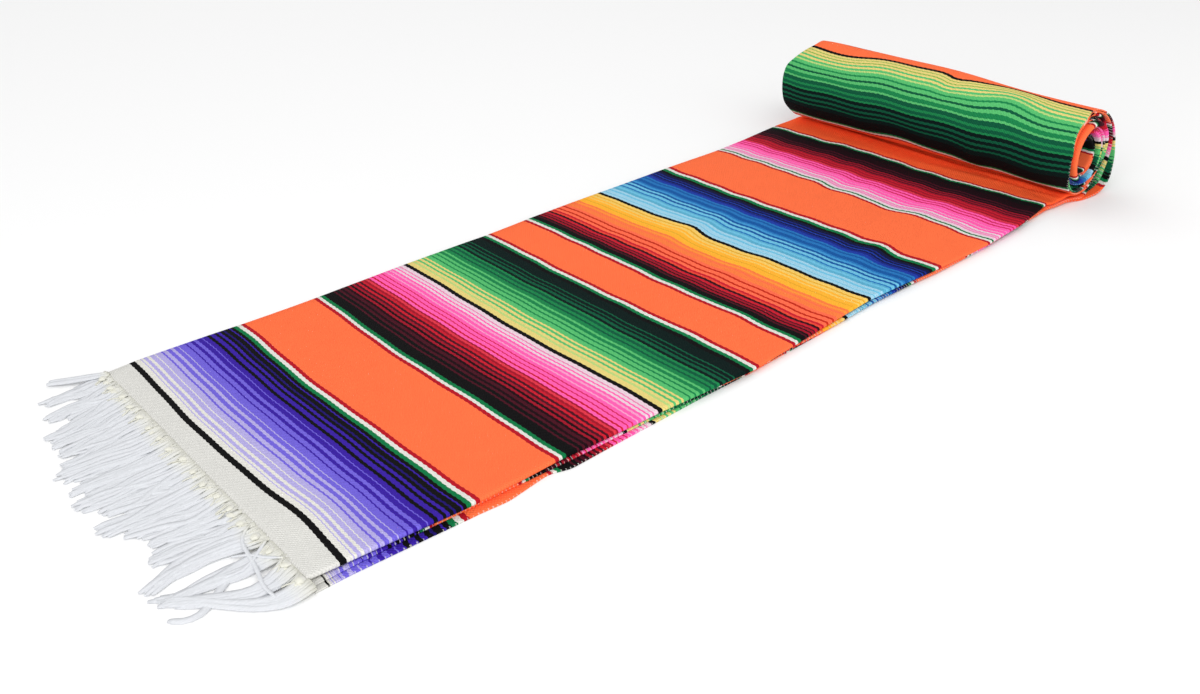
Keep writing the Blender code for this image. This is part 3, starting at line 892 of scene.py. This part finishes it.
def knot_shapes(layer, chance):
    """Knots: soft flat lumps that swell and turn along them, ring by ring."""
    root_y = knot_row(layer)
    t = np.linspace(0, 1, KNOT_RINGS)
    turn = np.arange(KNOT_SIDES) * 2 * np.pi / KNOT_SIDES
    swell = np.sqrt(np.clip(np.sin(np.pi * (0.04 + 0.92 * t)), 0, 1))
    wrap = 1 + 0.12 * np.cos(4 * np.pi * t)[:, None] + 0.1 * np.cos(2 * turn + 5 * t[:, None])
    size = (2.2 + 1.2 * chance.random(KNOTS)) * MM
    width = size[:, None, None] * swell[:, None] * wrap
    lean = chance.uniform(-0.5, 0.5, KNOTS)
    place = KNOT_PLACE + chance.uniform(-1.5, 1.5, KNOTS) * MM
    x = place[:, None] + KNOT_LENGTH * (0.5 - t)
    middle = root_y[:, None] + lean[:, None] * KNOT_LENGTH * (t - 0.5)
    height = (layer + 0.5) * LAYER_STEP + 0.7 * MM
    y = middle[..., None] + 1.2 * width * np.cos(turn)
    z = height + 0.38 * width * np.sin(turn)
    return np.stack([np.broadcast_to(x[..., None], y.shape), y, z], -1), np.broadcast_to(t, x.shape)


def warp_ends(layer, chance):
    """Short twisted threads on the knots: each crosses its knot in a low slanting arch and ends loose."""
    knot = np.repeat(knot_row(layer), THREADS_A_KNOT)
    count = len(knot)
    t = np.linspace(0, 1, 6)
    reach = chance.uniform(7, 15, (count, 1)) * MM
    x = 0.5 * MM - reach * t - 1.5 * MM * t * t
    start = chance.uniform(-9, 9, (count, 1)) * MM
    end = chance.uniform(-7, 7, (count, 1)) * MM
    y = knot[:, None] + start + (end - start) * ease(t)
    arch = chance.uniform(0.3, 1.1, (count, 1)) * MM * np.sin(np.pi * t)
    z = (layer + 0.5) * LAYER_STEP * (1 - 0.35 * t) + 0.5 * MM + arch
    return np.stack([x, y, z], -1), np.broadcast_to(t, x.shape)


# What a user may change


class SerapeSizes(bpy.types.PropertyGroup):
    """The sizes of the blanket."""

    cloth_width: bpy.props.FloatProperty(
        name="Cloth width", description="Width of the open blanket", default=1.52, unit="LENGTH"
    )
    cloth_length: bpy.props.FloatProperty(
        name="Cloth length", description="Length of the open blanket", default=1.83, unit="LENGTH"
    )
    thickness: bpy.props.FloatProperty(
        name="Thickness", description="Thickness of one layer of cloth", default=1.35 * MM, unit="LENGTH"
    )
    strand: bpy.props.FloatProperty(
        name="Strand", description="Breadth of one strand of the fringe", default=4.2 * MM, unit="LENGTH"
    )


class SerapeColours(bpy.types.PropertyGroup):
    """The colours of the blanket's plain fields, lines and fringe."""

    field: bpy.props.FloatVectorProperty(
        name="Field", description="The plain stretches", subtype="COLOR", default=linear(SHADES["orange"])
    )
    line: bpy.props.FloatVectorProperty(
        name="Line", description="The dark lines", subtype="COLOR", default=linear(SHADES["black"])
    )
    border: bpy.props.FloatVectorProperty(
        name="Border", description="The plain ends", subtype="COLOR", default=linear(SHADES["cream"])
    )
    knots: bpy.props.FloatVectorProperty(
        name="Knots", description="The fringe's knots", subtype="COLOR", default=linear("#D6D5CA")
    )
    strands: bpy.props.FloatVectorProperty(
        name="Strands", description="The fringe's strands", subtype="COLOR", default=linear("#CFD1D5")
    )


class SerapeStage(bpy.types.PropertyGroup):
    """The floor and the light."""

    floor: bpy.props.FloatVectorProperty(
        name="Floor", description="Colour of the floor", subtype="COLOR", default=linear("#F4F4F4")
    )
    softness: bpy.props.FloatProperty(
        name="Lamp size", description="Side of the square lamps", default=2.6, unit="LENGTH"
    )


# Operators


class WeaveSerape(bpy.types.Operator):
    """Weaves the striped cloth, folded in four, laid out and rolled up at its far end"""

    bl_idname = "serape.weave_cloth"
    bl_label = "Weave the cloth"

    def execute(self, context):
        sizes, chosen = context.scene.serape_sizes, context.scene.serape_colours
        colours = {name: linear(code) for name, code in SHADES.items()}
        colours.update(orange=tuple(chosen.field), black=tuple(chosen.line), cream=tuple(chosen.border))
        mesh = grid_mesh("serape_cloth", *cloth_surface(sizes.thickness, sizes.cloth_length))
        cloth = weft_faced_acrylic(colours)
        piece = place_piece("serape_cloth", mesh, cloth, "striped_cloth", "flat_run", "roll")
        wall = piece.modifiers.new("thickness", "SOLIDIFY")
        wall.thickness = sizes.thickness
        wall.offset = 0
        return {"FINISHED"}


class KnotFringe(bpy.types.Operator):
    """Draws the warp ends together into knots along the woven end of every layer"""

    bl_idname = "serape.knot_fringe"
    bl_label = "Knot the fringe"

    def execute(self, context):
        chance = np.random.default_rng(11)
        colours = context.scene.serape_colours
        material = soft_cotton("cotton_knots", tuple(colours.border), tuple(colours.knots), 0.5)
        for name, layers in (("fringe_knots_lower", (0, 1)), ("fringe_knots_upper", (2, 3))):
            lumps, threads = [], []
            for layer in layers:
                lumps.append(knot_shapes(layer, chance))
                path, place = warp_ends(layer, chance)
                half = np.full(place.shape, THREAD / 2)
                threads.append((tubes_along(path, half, 0.6 * half), place))
            for title, tubes in ((name, lumps), (name.replace("knots", "warp_ends"), threads)):
                rings, places = (np.concatenate(kind) for kind in zip(*tubes))
                place_piece(title, tube_mesh(title, rings - ORIGIN, places), material, "warp_fringe")
        return {"FINISHED"}


class LayStrands(bpy.types.Operator):
    """Lays the fringe's strands out from their knots, in tassels that draw together at the tip"""

    bl_idname = "serape.lay_strands"
    bl_label = "Lay the strands"

    def execute(self, context):
        chance = np.random.default_rng(5)
        colours = context.scene.serape_colours
        material = soft_cotton("cotton_strands", tuple(colours.knots), tuple(colours.strands), 0.2)
        broad = context.scene.serape_sizes.strand / 2
        shares = np.linspace(0, 1, STRAND_RINGS)
        for name, layers, node in (
            ("fringe_strands_lower", (0, 1), "fringe_lower"),
            ("fringe_strands_upper", (2, 3), "fringe_upper"),
        ):
            strands = []
            for layer in layers:
                path, place = strand_paths(layer, chance)
                strands.append((path, place, broad * chance.uniform(*STRAND_SPREAD, len(path))))
            if node == "fringe_upper":
                path = loose_paths()
                breadths = np.array([strand[1] for strand in LOOSE_STRANDS]) * MM
                strands.append((path, np.broadcast_to(shares, path.shape[:2]), breadths / 2))
            path, place, half = (np.concatenate(kind) for kind in zip(*strands))
            half = half[:, None] * np.interp(shares, STRAND_SHARES, STRAND_BREADTHS)
            high = 0.26 * half + 0.14 * MM
            path[..., 2] = np.maximum(path[..., 2], 1.3 * high + FLOOR_ROOM)
            mesh = tube_mesh(name, tubes_along(path, half, high, STRAND_SIDES) - ORIGIN, place)
            place_piece(name, mesh, material, "warp_fringe", node)
        return {"FINISHED"}


class DeclareCloth(bpy.types.Operator):
    """Takes no step: what the cloth was cut to before it was folded and rolled is not declared"""

    bl_idname = "serape.declare_cloth"
    bl_label = "Declare the cloth"

    def execute(self, context):
        return {"FINISHED"}


CAMERA_PLACE = Vector((-0.64855, -0.79025, 0.5105))
CAMERA_YAW = 38.0
CAMERA_PITCH = 29.44
CAMERA_ROLL = -3.52
CAMERA_LENS = 35.85
DAYLIGHT = 0.73
# Lamps, all turned to the origin: name, place, power
LAMPS = (
    ("key_lamp", (-1.9, -1.2, 1.25), 35.0),
    ("fill_lamp", (0.1, -2.0, 1.5), 20.0),
    ("back_lamp", (0.4, 2.0, 2.2), 13.0),
)
FLOOR_SIDE = 18.0


def studio_paper(colour):
    """White studio paper: it gives the eye a bright, matt, empty ground."""
    material, shader = matt_material("studio_paper", 0.9, 0.1)
    shader.inputs["Base Color"].default_value = (*colour, 1.0)
    return material


class SetStage(bpy.types.Operator):
    """Lays the pale floor, hangs the soft lamps and sets up the camera"""

    bl_idname = "serape.set_stage"
    bl_label = "Set the stage"

    def execute(self, context):
        stage = context.scene.serape_stage
        scene = context.scene
        scene.view_settings.view_transform = "Standard"
        scene.world = scene.world or bpy.data.worlds.new("studio")
        scene.world.use_nodes = True
        sky = scene.world.node_tree.nodes["Background"]
        sky.inputs["Color"].default_value = (1.0, 1.0, 1.0, 1.0)
        sky.inputs["Strength"].default_value = DAYLIGHT

        mesh = bpy.data.meshes.new("floor")
        side = FLOOR_SIDE / 2
        corners = [(-side, -side, 0), (side, -side, 0), (side, side, 0), (-side, side, 0)]
        mesh.from_pydata(corners, [], [(0, 1, 2, 3)])
        mesh.materials.append(studio_paper(stage.floor))
        floor = bpy.data.objects.new("floor", mesh)
        scene.collection.objects.link(floor)

        for name, place, power in LAMPS:
            lamp = bpy.data.lights.new(name, "AREA")
            lamp.shape = "SQUARE"
            lamp.size = stage.softness
            lamp.energy = power
            hung = bpy.data.objects.new(name, lamp)
            aim = (-Vector(place)).to_track_quat("-Z", "Y").to_matrix().to_4x4()
            hung.matrix_world = Matrix.Translation(place) @ aim
            scene.collection.objects.link(hung)

        yaw, pitch, roll = np.radians([CAMERA_YAW, CAMERA_PITCH, CAMERA_ROLL])
        ahead = Vector((np.sin(yaw) * np.cos(pitch), np.cos(yaw) * np.cos(pitch), -np.sin(pitch)))
        level = Vector((np.cos(yaw), -np.sin(yaw), 0.0))
        upright = level.cross(ahead)
        right = np.cos(roll) * level + np.sin(roll) * upright
        up = -np.sin(roll) * level + np.cos(roll) * upright
        camera = bpy.data.objects.new("camera", bpy.data.cameras.new("camera"))
        camera.data.lens = CAMERA_LENS
        camera.data.clip_end = 40
        turned = Matrix((right, up, -ahead)).transposed().to_4x4()
        camera.matrix_world = Matrix.Translation(CAMERA_PLACE) @ turned
        scene.collection.objects.link(camera)
        scene.camera = camera
        return {"FINISHED"}


class SERAPE_PT_panel(bpy.types.Panel):
    """The serape's steps and what a user may change"""

    bl_label = "Serape"
    bl_space_type = "VIEW_3D"
    bl_region_type = "UI"
    bl_category = "Serape"

    def draw(self, context):
        for operator in (WeaveSerape, KnotFringe, LayStrands, DeclareCloth, SetStage):
            self.layout.operator(operator.bl_idname)
        for group, names in (
            (context.scene.serape_sizes, ("cloth_width", "cloth_length", "thickness", "strand")),
            (context.scene.serape_colours, ("field", "line", "border", "knots", "strands")),
            (context.scene.serape_stage, ("floor", "softness")),
        ):
            for name in names:
                self.layout.prop(group, name)


CLASSES = (
    SerapeSizes,
    SerapeColours,
    SerapeStage,
    WeaveSerape,
    KnotFringe,
    LayStrands,
    DeclareCloth,
    SetStage,
    SERAPE_PT_panel,
)


def register():
    for cls in CLASSES:
        bpy.utils.register_class(cls)
    bpy.types.Scene.serape_sizes = bpy.props.PointerProperty(type=SerapeSizes)
    bpy.types.Scene.serape_colours = bpy.props.PointerProperty(type=SerapeColours)
    bpy.types.Scene.serape_stage = bpy.props.PointerProperty(type=SerapeStage)


def unregister():
    del bpy.types.Scene.serape_stage
    del bpy.types.Scene.serape_colours
    del bpy.types.Scene.serape_sizes
    for cls in reversed(CLASSES):
        bpy.utils.unregister_class(cls)


def main():
    register()
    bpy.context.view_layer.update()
    bpy.ops.serape.weave_cloth()
    bpy.ops.serape.knot_fringe()
    bpy.ops.serape.lay_strands()
    bpy.ops.serape.declare_cloth()
    bpy.ops.serape.set_stage()


if __name__ == "__main__":
    main()
